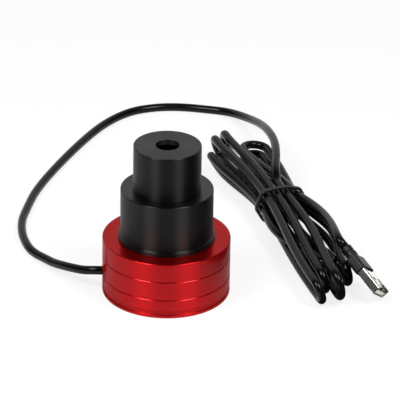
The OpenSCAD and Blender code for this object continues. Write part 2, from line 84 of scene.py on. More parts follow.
# %% [markdown]
# ## The camera
# A product shot is taken from well back with a long lens, so that upright edges stay nearly parallel. The view
# could be set by hand, but the edges of the three rings in the picture give it: how far the camera looks down,
# its small roll and its focal length. The distance hardly shows at this range and is a round 1.5 m.

# %% Camera at the picture's angle
view_down = math.radians(26.5)
view_roll = math.radians(0.986)
view_distance = 1.5
view_aim = Vector((15.4, 0, 46.9)) * MM
focal_px = 3218
image_px = 400
sensor_mm = 36

ahead = Vector((0, math.cos(view_down), -math.sin(view_down)))
level_up = Vector((0, math.sin(view_down), math.cos(view_down)))
right = Vector((1, 0, 0)) * math.cos(view_roll) + level_up * math.sin(view_roll)
camera_turn = Matrix((right, right.cross(ahead), -ahead)).transposed().to_4x4()
camera = bpy.data.objects.new("camera", bpy.data.cameras.new("camera"))
camera.data.sensor_width = sensor_mm
camera.data.lens = focal_px / image_px * sensor_mm
camera.data.clip_end = 10 * view_distance
camera.matrix_world = Matrix.Translation(view_aim - ahead * view_distance) @ camera_turn
bpy.context.scene.collection.objects.link(camera)
bpy.context.scene.camera = camera
print("camera at", [round(x, 3) for x in camera.matrix_world.translation], "lens", round(camera.data.lens, 1))

# %% [markdown]
# ## The cord's free stretch
# The cord leaves the red body on its left, drops to the table, sweeps round behind the camera and climbs onto
# the hank. A simulation could lay it, but the picture shows where it went, so its route is given as a short
# list of points. A Catmull-Rom curve passes through every point and needs no handles.

# %% Route of the free stretch
cord_d = 4.2
cord_r = cord_d / 2
body_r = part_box("camera_body")[1].x / MM
exit_z = 9
table_gap = 0.1
table_z = cord_r + table_gap
lead_route = np.array([
    [-body_r, 0, exit_z], [-body_r - 4, 0, exit_z], [-39, 2, 8], [-44, 6, 6.8], [-49, 11, 5.4],
    [-54, 17, 3.8], [-58.5, 23, 2.9], [-63, 29, table_z], [-67, 36, table_z], [-70.5, 49, table_z],
    [-71.5, 63, table_z], [-70, 76.5, table_z], [-66.5, 96, table_z], [-59.5, 119, table_z],
    [-47.5, 150.5, table_z], [-35.5, 175.5, table_z], [-23, 191, table_z], [-10, 197.5, table_z],
    [3, 199, table_z], [17, 197, table_z], [30, 192, 2.9], [40, 177, 6.6], [46.4, 157, 12.5],
    [50, 138.5, 17.2], [52.4, 122, 19.6], [53, 107, 20.2], [52.6, 91.5, 19.2],
])


def spline(points, last_way, steps):
    """Catmull-Rom curve: a cubic from point to point whose slope is half the step between the neighbours."""
    beyond = points[-2] + 2 * np.linalg.norm(points[-1] - points[-2]) * last_way
    p = np.vstack([points[:1], points, beyond])
    a, b, c, d = p[:-3, None], p[1:-2, None], p[2:-1, None], p[3:, None]
    t = np.linspace(0, 1, steps, endpoint=False)[None, :, None]
    cubic = 2 * b + (c - a) * t + (2 * a - 5 * b + 4 * c - d) * t**2 + (3 * b - a - 3 * c + d) * t**3
    return np.vstack([cubic.reshape(-1, 3) / 2, points[-1:]])


def length_of(path):
    """Sum of the steps along a path."""
    return np.linalg.norm(np.diff(path, axis=0), axis=1).sum()


print("route has", len(lead_route), "points and is", round(length_of(lead_route)), "mm long")

# %% [markdown]
# ## The hank
# The rest of the cord is folded to and fro and held by a band, so eleven strands pass through the waist. Each
# fold is a half circle with its own reach and lean. Between a fold and the waist a strand eases sideways and
# upwards with the smooth step 3t² - 2t³, which starts and ends level, so that it joins both without a kink.

# %% Strands and folds of the hank
hank_middle = np.array([55.5, 71, 0])
hank_heading = math.radians(-72)
hank_along = np.array([math.cos(hank_heading), math.sin(hank_heading), 0])
hank_across = np.array([-math.sin(hank_heading), math.cos(hank_heading), 0])
hank_axes = np.array([hank_along, hank_across, [0, 0, 1]])
row_1, row_2, row_3 = 4.2, 9.7, 15.9
slots = np.array([
    [1.9, row_3], [2.4, row_1], [-2.8, row_3], [-2.4, row_1], [-7.7, row_3 - 0.8], [-7.1, row_1 + 0.9],
    [-9.8, row_2], [3.4, row_2 + 0.9], [6.9, row_1 + 1.9], [9.2, row_2 + 0.5], [7, row_3 - 1.3],
])
# each fold: its end, reach, place across, height, radius, lean and the swell of its legs
folds = [
    (1, 89.4, -1.3, 8.8, 6.3, 101, 1.9), (-1, 77.8, -4.4, 10.3, 4.6, -80, 1.2),
    (1, 80.6, -5.8, 7.7, 5, 102, 0.3), (-1, 73.2, -10.4, 10, 5.6, -72, 0.9),
    (1, 89.8, -11.1, 7.4, 4.9, 107, -0.7), (-1, 62.4, -15.1, 7.3, 4.6, -59, 0.6),
    (1, 62.2, 2.5, 8.1, 4.3, 171, -5.2), (-1, 72, 8.1, 3, 5.1, 180, 2.4),
    (1, 75.4, 7.7, 6.9, 4.5, -83, 5.5), (-1, 66.9, 6.7, 10.8, 6.3, -5, 0.4),
]
hank_start = -7
run_rings = 22
fold_rings = 18
end_rings = 40
end_leave = np.array([93, 30, 5])
end_enter = 22


def smooth(t):
    """3t² - 2t³: from 0 to 1, level at both ends."""
    return t * t * (3 - 2 * t)


def fold_points(fold, angle):
    """A half circle of the fold's radius that leans about the hank's length, at the given angles."""
    end, reach, across, up, radius, lean, _ = fold
    lean = math.radians(lean)
    out = end * (reach - radius + radius * np.sin(angle))
    side = radius * np.cos(angle)
    return np.column_stack([out, across + side * math.cos(lean), up + side * math.sin(lean)])


def run_points(slot, foot, swell, t):
    """From a slot in the waist at t = 0 to a fold's foot at t = 1, easing over with a swell half way."""
    eased = smooth(t)
    sideways = slot[0] + (foot[1] - slot[0]) * eased + swell * (4 * t * (1 - t)) ** 2
    upwards = slot[1] + (foot[2] - slot[1]) * eased
    return np.column_stack([foot[0] * t, sideways, upwards])


def placed(points):
    """Along, across and up in the hank to the shared frame."""
    return hank_middle + points @ hank_axes


print("hank:", len(slots), "strands and", len(folds), "folds")

# %% [markdown]
# ## Where the plug lies
# The last strand leaves the waist and runs into the plug, which leans on the hank with its tip near the table.
# Its frame has three axes: along the plug to its tip, across its wide side and through its thickness.

# %% Frame of the plug and the whole path
plug_tip = np.array([101, -11.8, 6])
plug_heading, plug_dip, plug_roll = -50, 27, -39
shell_l, grip_l, boot_l = 12.8, 8.8, 7
plug_l = shell_l + grip_l + boot_l
lead_steps = 8
plug_turn = (
    Matrix.Rotation(math.radians(plug_heading), 3, "Z")
    @ Matrix.Rotation(math.radians(plug_dip), 3, "Y")
    @ Matrix.Rotation(math.radians(plug_roll), 3, "X")
)
plug_axes = np.array(plug_turn.transposed())


def in_plug(points):
    """Points in the plug's own frame, its tip at the origin, to the shared frame."""
    return plug_tip + points @ plug_axes


plug_way = hank_axes @ plug_axes[0]
plug_end = hank_axes @ (plug_tip - plug_l * plug_axes[0] - hank_middle)
half_turn = np.linspace(0, np.pi, fold_rings + 1)
out_t = np.linspace(0, 1, run_rings + 1)
strands = [np.array([[hank_start, *slots[0]]])]
for k, fold in enumerate(folds):
    curl = fold_points(fold, half_turn)
    strands += [run_points(slots[k], curl[0], fold[-1], out_t), curl[1:-1],
                run_points(slots[k + 1], curl[-1], fold[-1], out_t[:0:-1])]
waist_end, boot_start = np.array([0, *slots[-1]]), plug_end - cord_d * plug_way
end_t = np.linspace(0, 1, end_rings + 1)[:, None]
leaving = end_t * (1 - end_t) ** 2 * end_leave
entering = end_t**2 * (1 - end_t) * end_enter * plug_way
last = waist_end + smooth(end_t) * (boot_start - waist_end) + leaving - entering
hank_path = placed(np.vstack([*strands, last, plug_end]))
lead_end = placed(np.array([[hank_start - cord_d, *slots[0]]]))
lead_path = spline(np.vstack([lead_route, lead_end]), hank_along, lead_steps)
cord_path = np.vstack([lead_path, hank_path])
print("lead", round(length_of(lead_path)), "mm, hank", round(length_of(hank_path)), "mm, in",
      len(cord_path), "points")

# %% [markdown]
# ## A surface from a grid
# Every new piece in this lesson is a grid of points: rows along one parameter, columns along another. The faces
# are the same for all of them, so one function makes them from index arithmetic. The enclosed volume tells
# whether the faces point outwards, and the grid is turned round if they don't.


# %% Grid to mesh
def grid_piece(name, body, points, closed_rows=False, caps=False):
    """A mesh of four-sided faces over a grid of points in millimetres; its columns always close in a ring."""
    rows, columns = points.shape[:2]
    index = np.arange(rows * columns).reshape(rows, columns)
    upper = np.roll(index, -1, axis=0) if closed_rows else index[1:]
    lower = index if closed_rows else index[:-1]
    next_lower, next_upper = np.roll(lower, -1, axis=1), np.roll(upper, -1, axis=1)
    quads = np.stack([lower, next_lower, next_upper, upper], axis=-1).reshape(-1, 4)
    flat = points.reshape(-1, 3) * MM
    p, q, r, s = np.moveaxis(flat[quads], 1, 0)
    volume = (p * (np.cross(q, r) + np.cross(r, s))).sum()
    inward = volume < 0
    faces = (quads[:, ::-1] if inward else quads).tolist()
    if caps:
        ends = [index[0][::-1], index[-1]]
        faces += [(end[::-1] if inward else end).tolist() for end in ends]
    mesh = bpy.data.meshes.new(name)
    mesh.from_pydata(flat.tolist(), [], faces)
    mesh.shade_smooth()
    piece = bpy.data.objects.new(name, mesh)
    bpy.context.scene.collection.objects.link(piece)
    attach(piece, body)
    return piece


def unit(v):
    """Vectors of length one along the last axis."""
    return v / np.linalg.norm(v, axis=-1, keepdims=True)


# %% [markdown]
# ## Sweeping the cord
# The cord is a circle carried along its path. A frame that is set up afresh at each point would spin where
# the cord turns over, so each ring takes its side vector from the ring before, less what points along the
# path. Rings are plain arrays: path + radius × (cosine × side + sine × other side).

# %% The cord
cord_sides = 20


def untwisted(path):
    """Two side vectors for each point of a path, carried along it without twist."""
    way = unit(np.gradient(path, axis=0))
    side = np.empty_like(way)
    held = np.array([0, 0, 1.0])
    for i, along in enumerate(way):
        held = unit(held - held @ along * along)
        side[i] = held
    return side, np.cross(way, side)


def swept(path, side, other, section):
    """A closed section, in two coordinates, carried along a path on two side vectors."""
    return path[:, None] + section[None, :, :1] * side[:, None] + section[None, :, 1:] * other[:, None]


round_turn = np.linspace(0, 2 * np.pi, cord_sides, endpoint=False)
cord_section = cord_r * np.column_stack([np.cos(round_turn), np.sin(round_turn)])
cord = grid_piece("cord", "body", swept(cord_path, *untwisted(cord_path), cord_section), caps=True)
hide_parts("cord_lead", "cord_hank")

# %% [markdown]
# ## The band round the hank
# A thin elastic band holds the strands. Its line is the hull of eleven circles: in each direction the strand
# that reaches furthest carries the band, so the furthest strand's centre plus the band's distance gives the
# point. A rounded section is then carried round that line.

# %% The band
tie_t, tie_w = 1.6, 2.2
tie_gap = 0.3
tie_points = 240
tie_sides = 24
tie_squareness = 3


def super_ellipse(width, height, power, count):
    """|x / a|^p + |y / b|^p = 1: an ellipse at p = 2 that squares up as p grows."""
    angle = np.linspace(0, 2 * np.pi, count, endpoint=False)
    c, s = np.cos(angle), np.sin(angle)
    bent = np.column_stack([np.sign(c) * np.abs(c) ** (2 / power), np.sign(s) * np.abs(s) ** (2 / power)])
    return bent * [width / 2, height / 2]


def hull_line(centres, distance, count):
    """Line round a group of circles, spaced evenly: furthest centre in each direction plus the distance."""
    angle = np.linspace(0, 2 * np.pi, count, endpoint=False)
    out = np.column_stack([np.cos(angle), np.sin(angle)])
    line = centres[np.argmax(out @ centres.T, axis=1)] + distance * out
    ring = np.vstack([line, line[:1]])
    far = np.concatenate([[0], np.cumsum(np.linalg.norm(np.diff(ring, axis=0), axis=1))])
    even = np.linspace(0, far[-1], count, endpoint=False)
    return np.column_stack([np.interp(even, far, ring[:, i]) for i in (0, 1)])


tie_line = hull_line(slots, cord_r + tie_gap + tie_t / 2, tie_points)
tie_path = placed(np.column_stack([np.zeros(tie_points), tie_line]))
tie_way = unit(np.roll(tie_path, -1, axis=0) - np.roll(tie_path, 1, axis=0))
tie_side = np.broadcast_to(hank_along, tie_path.shape)
tie_section = super_ellipse(tie_w, tie_t, tie_squareness, tie_sides)
tie_grid = swept(tie_path, tie_side, np.cross(tie_way, tie_side), tie_section)
tie = grid_piece("cord_band", "body", tie_grid, closed_rows=True)
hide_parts("cord_tie")
print("band:", len(tie.data.polygons), "faces")

# %% [markdown]
# ## Outlines with rounded corners
# Real edges are never sharp: a turning tool or a mould leaves a small round that catches a line of light. An
# outline here is a list of corners, each with its own round. The arc at a corner touches both of its sides,
# so it starts the round divided by the tangent of half the corner's angle away from it.


# %% Rounded outline and turned surface
def rounded(corners, steps=5):
    """Rows of (x, y, round) to a closed outline in which each corner is an arc that touches both its sides."""
    corners = np.array(corners, float)
    corner, radius = corners[:, :2], corners[:, 2:]
    back, on = unit(np.roll(corner, 1, axis=0) - corner), unit(np.roll(corner, -1, axis=0) - corner)
    half = np.arccos((back * on).sum(1, keepdims=True)) / 2
    centre = corner + unit(back + on) * radius / np.sin(half)
    start = corner + back * radius / np.tan(half) - centre
    stop = corner + on * radius / np.tan(half) - centre
    sweep = (np.pi - 2 * half)[:, None]
    t = np.linspace(0, 1, steps)[None, :, None]
    arc = np.sin((1 - t) * sweep) * start[:, None] + np.sin(t * sweep) * stop[:, None]
    return (centre[:, None] + arc / np.sin(sweep)).reshape(-1, 2)


def turned(outline, sides):
    """A closed outline of (radius, height) carried round the upright axis."""
    angle = np.linspace(0, 2 * np.pi, sides, endpoint=False)
    r, z = outline[:, :1], outline[:, 1:]
    return np.stack([r * np.cos(angle), r * np.sin(angle), z + 0 * angle], axis=-1)


def even_shading(piece, sharp_degrees=35):
    """Keeps flat faces flat up to their rounds, and marks what is left as sharp edges."""
    piece.data.set_sharp_from_angle(angle=math.radians(sharp_degrees))
    piece.modifiers.new("even shading", "WEIGHTED_NORMAL").keep_sharp = True


# %% [markdown]
# ## The plug's boot and overmould
# The boot is a small turned sleeve with ribs, so that the cord bends gently behind the plug. The overmould is a
# box with rounded edges: every point lies on a corner arc of its outline, drawn in near both ends by a
# quarter circle. Both are grids in the plug's own frame.

# %% Boot and overmould
boot_r, boot_end_r, boot_core_r = 2.8, 2.6, 2.3
boot_ribs = 2
boot_rib_gap = 0.8
boot_round, sharp_round = 0.2, 0.05
boot_squeeze = 0.4
boot_bore_r = cord_r - boot_squeeze
boot_sides = 48
grip_w, grip_h, grip_corner, grip_round = 13.2, 5.8, 1.4, 0.6

rib_l = boot_l / boot_ribs
boot_corners = [(boot_bore_r, boot_l, sharp_round), (boot_bore_r, 0, sharp_round)]
for i in range(boot_ribs):
    rib_r = boot_end_r + (boot_r - boot_end_r) * (i + 1) / boot_ribs
    rib_from, next_rib = i * rib_l, (i + 1) * rib_l
    rib_to = next_rib - boot_rib_gap
    boot_corners += [(rib_r, rib_from, boot_round), (rib_r, rib_to, boot_round),
                     (boot_core_r, rib_to, boot_round), (boot_core_r, next_rib, boot_round)]
boot_corners[-1] = (boot_core_r, boot_l, sharp_round)
boot_grid = turned(rounded(boot_corners), boot_sides)[..., [2, 0, 1]] - [plug_l, 0, 0]
boot = grid_piece("plug_boot_ribbed", "body", in_plug(boot_grid), closed_rows=True)
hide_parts("plug_boot")


def soft_box(length, width, height, corner, edge, steps=6):
    """Rings of a rounded rectangle along X, drawn in by a quarter circle at both ends."""
    quarter = np.linspace(0, np.pi / 2, steps)
    x = np.concatenate([edge - edge * np.cos(quarter), length - edge + edge * np.sin(quarter)])
    inset = np.concatenate([edge - edge * np.sin(quarter), edge - edge * np.cos(quarter)])
    angle = np.concatenate([quarter + i * np.pi / 2 for i in range(4)])
    out = np.column_stack([np.cos(angle), np.sin(angle)])
    quadrant = np.repeat([[1, 1], [-1, 1], [-1, -1], [1, -1]], steps, axis=0)
    centre = quadrant * [width / 2 - corner, height / 2 - corner]
    ring = centre[None] + (corner - inset)[:, None, None] * out[None]
    return np.dstack([np.broadcast_to(x[:, None], ring.shape[:2]), ring])


grip_grid = soft_box(grip_l, grip_w, grip_h, grip_corner, grip_round) - [shell_l + grip_l, 0, 0]
grip = grid_piece("plug_overmould", "body", in_plug(grip_grid), caps=True)
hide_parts("plug_grip")
for piece in (boot, grip):
    even_shading(piece)
print("boot:", len(boot.data.polygons), "faces, overmould:", len(grip.data.polygons), "faces")

# %% [markdown]
# ## The plug's metal shell
# The shell is a strip of plated steel folded to a rounded rectangle, with two square windows in each wide side
# for the socket's springs. Its grid has lines at the windows' edges, so a window is just the faces that are
# left out. Solidify then gives the strip its thickness, towards the inside.

# %% Shell
shell_w, shell_h, shell_t, shell_corner = 12, 4.5, 0.35, 0.8
window_from, window_to = -7.2, -5.2
window_in, window_out = 1.65, 4.15
mouth_l = 0.25
corner_steps = 5

across_lines = np.array([-window_out, -window_in, window_in, window_out])
corner_turn = np.linspace(0, np.pi / 2, corner_steps)
corner_arc = shell_corner * np.column_stack([np.cos(corner_turn), np.sin(corner_turn)])
core = np.array([shell_w / 2 - shell_corner, shell_h / 2 - shell_corner])
wide_side = np.column_stack([across_lines[::-1], np.full(len(across_lines), shell_h / 2)])
half_ring = np.vstack([core + corner_arc, wide_side, core * [-1, 1] + corner_arc[::-1] * [-1, 1]])
shell_ring = np.vstack([half_ring, -half_ring])
shell_x = np.array([-shell_l, window_from, window_to, -mouth_l, 0])
shell_grid = np.dstack([np.broadcast_to(shell_x[:, None], (len(shell_x), len(shell_ring))),
                        np.broadcast_to(shell_ring[None], (len(shell_x), *shell_ring.shape))])
shell = grid_piece("plug_sleeve", "body", in_plug(shell_grid))
centres = np.array([f.center for f in shell.data.polygons]) / MM
local = (centres - plug_tip) @ plug_axes.T
in_window = ((local[:, 0] > window_from) & (local[:, 0] < window_to) & (np.abs(local[:, 2]) > core[1])
          & (np.abs(local[:, 1]) > window_in) & (np.abs(local[:, 1]) < window_out))
kept = [tuple(f.vertices) for f, cut in zip(shell.data.polygons, in_window) if not cut]
strip = bpy.data.meshes.new("plug_sleeve")
strip.from_pydata([v.co.copy() for v in shell.data.vertices], [], kept)
strip.shade_smooth()
shell.data = strip
fold_in = shell.modifiers.new("sheet thickness", "SOLIDIFY")
fold_in.thickness = shell_t * MM
fold_in.offset = -1
even_shading(shell)
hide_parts("plug_shell")
print("shell:", len(strip.polygons), "faces with", int(in_window.sum()), "windows")

# %% [markdown]

# %% [markdown]
# ## Screw threads
# The nosepiece and the barrel screw off, which bares their threads. On a grid of height and angle a thread is
# one formula: the radius drops by a cosine of height over pitch less the angle's share of a turn. The
# phase gains a whole turn on its way round, so the seam closes by itself.

# %% Thread formula
turned_sides = 256
rows_per_pitch = 12
thread_depth, thread_lead, thread_relief = 0.45, 0.3, 0.2
thread_gap, seat_gap = 0.05, 0.05


def threaded(grid, r, low, high, pitch, depth):
    """Cuts a right-hand thread into the rows that lie on a radius between two heights."""
    around = np.hypot(grid[..., 0], grid[..., 1])
    turns = grid[..., 2] / pitch - np.arctan2(grid[..., 1], grid[..., 0]) / (2 * np.pi)
    ends = np.clip((grid[..., 2] - low) / pitch, 0, 1) * np.clip((high - grid[..., 2]) / pitch, 0, 1)
    drop = np.where(np.isclose(around, r), depth * ends * (1 - np.cos(2 * np.pi * turns)) / 2, 0)
    return grid * np.stack([1 - drop / around, 1 - drop / around, np.ones_like(drop)], axis=-1)


def with_rows(outline, r, low, high, spacing):
    """Adds evenly spaced rows to the straight stretch of an outline at a radius."""
    at = np.flatnonzero(np.isclose(outline[:-1, 0], r) & np.isclose(outline[1:, 0], r))
    spot = at[np.argmax(np.abs(np.diff(outline[:, 1]))[at])] + 1
    z = np.arange(low, high, spacing)
    rising = outline[spot, 1] > outline[spot - 1, 1]
    rows = np.column_stack([np.full(len(z), r), z if rising else z[::-1]])
    return np.insert(outline, spot, rows, axis=0)


def with_thread(corners, r, low, high, pitch):
    """Turns an outline with rounded corners and threads its spigot, from its free end to the shoulder."""
    low = low + thread_lead
    outline = with_rows(rounded(corners), r, low, high, pitch / rows_per_pitch)
    return threaded(turned(outline, turned_sides), r, low, high - thread_relief, pitch, thread_depth)


# %% [markdown]
# ## The nosepiece
# The nosepiece is the plain 31.75 mm tube that slips into a telescope. Its end wall is closed but for a round
# light hole, and below its shoulder it has the threaded spigot. The solid is right but sharp, so it is turned
# again here from its outline with small rounds.

# %% Nosepiece
edge_round = 0.12
nose_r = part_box("nosepiece")[1].x / MM
nose_low, nose_top = (corner.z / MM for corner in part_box("nosepiece"))
barrel_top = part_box("barrel")[1].z / MM
nose_spigot_r, nose_bore_r, nose_hole_r = 14, 12.4, 5.6
nose_end_t, nose_bevel, nose_pitch = 2.5, 0.4, 1
shoulder = barrel_top + seat_gap
groove_in, groove_up = 1.15, 0.9

nose_corners = [
    (nose_bore_r, nose_low, edge_round), (nose_spigot_r, nose_low, edge_round),
    (nose_spigot_r, barrel_top + groove_up, edge_round),
    (nose_spigot_r + groove_in, barrel_top + groove_up, edge_round),
    (nose_spigot_r + groove_in, shoulder, edge_round), (nose_r, shoulder, edge_round),
    (nose_r, nose_top, nose_bevel), (nose_hole_r, nose_top, edge_round),
    (nose_hole_r, nose_top - nose_end_t, edge_round), (nose_bore_r, nose_top - nose_end_t, edge_round),
]
nose_grid = with_thread(nose_corners, nose_spigot_r, nose_low, barrel_top, nose_pitch)
nose = grid_piece("nosepiece_tube", "nose", nose_grid, closed_rows=True)
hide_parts("nosepiece")
print("nosepiece:", len(nose.data.polygons), "faces, radius", round(nose_r, 3))

# %% [markdown]
# ## The front barrel
# The barrel is the wider black ring under the nosepiece. It ends in a low foot flange whose rounded top
# carries the two bright dashes of light in the picture. Inside, a shelf holds the window.

# %% Barrel
foot_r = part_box("barrel")[1].x / MM
barrel_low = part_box("barrel")[0].z / MM
body_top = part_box("camera_body")[1].z / MM
barrel_r, barrel_spigot_r, barrel_bore_r = foot_r - 1, 21, 17
foot_h, foot_round, foot_corner, barrel_rim = 2.2, 0.6, 0.3, 0.45
barrel_pitch = 0.75
seat_z, shelf_z, shelf_r, shelf_t = barrel_top - 7, barrel_top - 10, 11, 2
seat_r, window_seat_r = nose_spigot_r + thread_gap, 13.15
ring_in, ring_up = 1.1, 0.8
foot_z = body_top + seat_gap

barrel_corners = [
    (barrel_bore_r, barrel_low, edge_round), (barrel_spigot_r, barrel_low, edge_round),
    (barrel_spigot_r, body_top + ring_up, edge_round),
    (barrel_spigot_r + ring_in, body_top + ring_up, edge_round),
    (barrel_spigot_r + ring_in, foot_z, edge_round), (foot_r, foot_z, edge_round),
    (foot_r, body_top + foot_h, foot_round), (barrel_r, body_top + foot_h, foot_corner),
    (barrel_r, barrel_top, barrel_rim), (seat_r, barrel_top, edge_round),
    (seat_r, seat_z, edge_round), (window_seat_r, seat_z, edge_round), (window_seat_r, shelf_z, edge_round),
    (shelf_r, shelf_z, edge_round), (shelf_r, shelf_z - shelf_t, edge_round),
    (barrel_bore_r, shelf_z - shelf_t, edge_round),
]
barrel_grid = with_thread(barrel_corners, barrel_spigot_r, barrel_low, body_top, barrel_pitch)
barrel = grid_piece("barrel_ring", "front_barrel", barrel_grid, closed_rows=True)
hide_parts("barrel")
print("barrel:", len(barrel.data.polygons), "faces, radius", round(barrel_r, 3))

# %% [markdown]
# ## The red body and its back cover
# The body is a deep ring with two turned grooves and a recessed joint band at its foot, where the back cover
# meets it. Grooves are corners like any other. Two things don't follow the turning: the hole for the cord and
# the sunk holes for the screws. A boolean cut makes them, once, and its result is kept as the mesh.

# %% Cutting holes
peg_sides = 64
cut_past = 4


def cut_holes(piece, cutters):
    """Takes the cutters' volume out of a piece for good, and removes them."""
    for cutter in cutters:
        modifier = piece.modifiers.new("cut", "BOOLEAN")
        modifier.object = cutter
        modifier.solver = "EXACT"
    bpy.context.view_layer.update()
    result = bpy.data.meshes.new_from_object(piece.evaluated_get(bpy.context.evaluated_depsgraph_get()))
    piece.modifiers.clear()
    piece.data = result
    for cutter in cutters:
        bpy.data.objects.remove(cutter)


def peg(name, outline, place):
    """A turned cutter: rows of (radius, height) with flat ends, moved by a function of its points."""
    return grid_piece(name, "body", place(turned(np.array(outline, float), peg_sides)), caps=True)


# %% Body
side_wall, front_wall = 4.5, 5.5
cavity_r = body_r - side_wall
lip_h, band_h, band_depth = 1.6, 2.4, 0.5
neck_r = body_r - band_depth
split_z, split_gap = lip_h + band_h / 2, 0.02
groove_heights = (9.4, 18.8)
groove_w, groove_depth, groove_flat = 0.8, 0.3, 0.2
body_edge, groove_round = 0.5, 0.2
thread_bore_r = barrel_spigot_r + thread_gap
hole_gap = 1.25
hole_r = cord_r + hole_gap

body_corners = [
    (cavity_r, split_z + split_gap, edge_round), (neck_r, split_z + split_gap, edge_round),
    (neck_r, lip_h + band_h - band_depth, groove_round), (body_r, lip_h + band_h, groove_round),
]
for z in groove_heights:
    body_corners += [
        (body_r, z - groove_w / 2, groove_round), (body_r - groove_depth, z - groove_flat / 2, sharp_round),
        (body_r - groove_depth, z + groove_flat / 2, sharp_round), (body_r, z + groove_w / 2, groove_round),
    ]
body_corners += [
    (body_r, body_top, body_edge), (thread_bore_r, body_top, edge_round),
    (thread_bore_r, body_top - front_wall, edge_round), (cavity_r, body_top - front_wall, edge_round),
]
body = grid_piece("body_ring", "body", turned(rounded(body_corners), turned_sides), closed_rows=True)
hole = peg("cord_hole_cutter", [(hole_r, cavity_r - cut_past), (hole_r, body_r + cut_past)],
           lambda p: np.stack([-p[..., 2], p[..., 0], exit_z + p[..., 1]], axis=-1))
cut_holes(body, [hole])
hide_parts("camera_body")
print("body:", len(body.data.polygons), "faces, radius", round(body_r, 2))

# %% Back cover
cover_ring_t, cover_ring_top = 2, 4.4
cover_ring_gap = 0.15
screw_circle, screw_count, screw_turn = 27.3, 4, 45
sink_r, sink_depth, sink_past, screw_hole_r = 2.1, 1.3, 0.2, 1.35
base_edge, lip_round, lip_rise = 0.45, 0.15, 0.1
axis_r, cap_r = 0.4, 0.5
ring_out = cavity_r - cover_ring_gap
ring_inside = ring_out - cover_ring_t

cover_corners = [
    (axis_r, 0, sharp_round), (body_r, 0, base_edge), (body_r, lip_h, lip_round),
    (neck_r, lip_h + lip_rise, sharp_round), (neck_r, split_z, sharp_round), (ring_out, split_z, sharp_round),
    (ring_out, cover_ring_top, edge_round), (ring_inside, cover_ring_top, edge_round),
    (ring_inside, split_z, sharp_round), (axis_r, split_z, sharp_round),
]
# the corners by the axis only close the outline: flat caps take their place
cover_line = rounded(cover_corners)
cover_line = cover_line[cover_line[:, 0] > cap_r]
cover = grid_piece("cover_plate", "body", turned(cover_line, turned_sides), caps=True)
sink_outline = [(sink_r + sink_past, -sink_past), (sink_r, 0), (screw_hole_r, sink_depth), (screw_hole_r, cut_past)]
sinks = []
for i in range(screw_count):
    where = math.radians(screw_turn + 360 * i / screw_count)
    offset = screw_circle * np.array([math.cos(where), math.sin(where), 0])
    sinks.append(peg(f"sink_cutter_{i}", sink_outline, lambda p, offset=offset: p + offset))
cut_holes(cover, sinks)
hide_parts("back_cover")
for piece in (nose, barrel, body, cover):
    even_shading(piece)
print("cover:", len(cover.data.polygons), "faces")

# %% [markdown]
# ## Shader sums
# A finish is a small network of nodes. Written out node by node it is hard to read, so one class wraps a socket
# and lets it take part in sums: each operator adds the Math node that does it. Every other node comes from
# one method that sets the node up first and then its sockets.


# %% The wire class
class Wire:
    """An output socket that takes part in sums; each operator adds one Math node."""

    def __init__(self, tree, socket):
        self.tree = tree
        self.socket = socket

    def node(self, kind, settings, inputs, out=0):
        """Adds a node: its settings first, then its sockets' values or links. Gives one of its outputs."""
        made = self.tree.nodes.new(kind)
        for name, value in settings.items():
            setattr(made, name, value)
        for name, value in inputs.items():
            if isinstance(value, Wire):
                self.tree.links.new(value.socket, made.inputs[name])
            else:
                made.inputs[name].default_value = value
        return Wire(self.tree, made.outputs[out])

    def math(self, operation, *values):
        """A Math node on the given values."""
        return self.node("ShaderNodeMath", {"operation": operation}, dict(enumerate(values)))

    def __add__(self, other):
        return self.math("ADD", self, other)

    __radd__ = __add__

    def __sub__(self, other):
        return self.math("SUBTRACT", self, other)

    def __rsub__(self, other):
        return self.math("SUBTRACT", other, self)

    def __mul__(self, other):
        return self.math("MULTIPLY", self, other)

    __rmul__ = __mul__

    def __pow__(self, other):
        return self.math("POWER", self, other)

    def mix(self, low, high):
        """A colour between two, by this value."""
        return self.node("ShaderNodeMix", {"data_type": "RGBA"}, {0: self, 6: low, 7: high}, out=2)

    def feed(self, socket):
        """Links this value into a shader's socket."""
        self.tree.links.new(self.socket, socket)


def linear(red, green, blue):
    """A screen colour of 0 to 255 as the linear colour that a shader takes."""
    share = np.array([red, green, blue]) / 255
    curve = np.where(share <= 0.04045, share / 12.92, ((share + 0.055) / 1.055) ** 2.4)
    return (*curve.tolist(), 1)


def new_finish(name, **uniform):
    """A material whose even values sit on its shader's own sockets; gives it, its shader and its place."""
    material = bpy.data.materials.new(name)
    material.use_nodes = True
    tree = material.node_tree
    shader = tree.nodes["Principled BSDF"]
    for socket, value in uniform.items():
        shader.inputs[socket.replace("_", " ")].default_value = value
    place = Wire(tree, tree.nodes.new("ShaderNodeTexCoord").outputs["Object"])
    return material, shader, place


def noise(place, scale, detail=2):
    """Cloudy noise over a surface, about 0.5 on average."""
    return place.node("ShaderNodeTexNoise", {}, {"Vector": place, "Scale": scale, "Detail": detail})


def bump(place, height, strength, distance):
    """A bump from a height."""
    return place.node("ShaderNodeBump", {}, {"Strength": strength, "Distance": distance, "Height": height})


print("shader tools ready")

# %% [markdown]
# ## Anodised metal
# Anodising leaves a hard clear skin full of dye on turned aluminium. The tool's fine rings stay in it: on a wall
# they change with height, on a face with radius, so one noise of height plus radius draws them on both. Rings
# spread light across themselves, which stretches a lamp's reflection to an upright streak on a wall. That
# could be done with thousands of real grooves, but a shader that is rougher one way than the other does the same.
# The faces are cut finer than the walls. The black dye lets no metal through. The red one does, and a slanting
# view goes a longer way through the dye, so the metal darkens towards its edges. The wall of the light hole is
# dulled, so that it throws no light back.

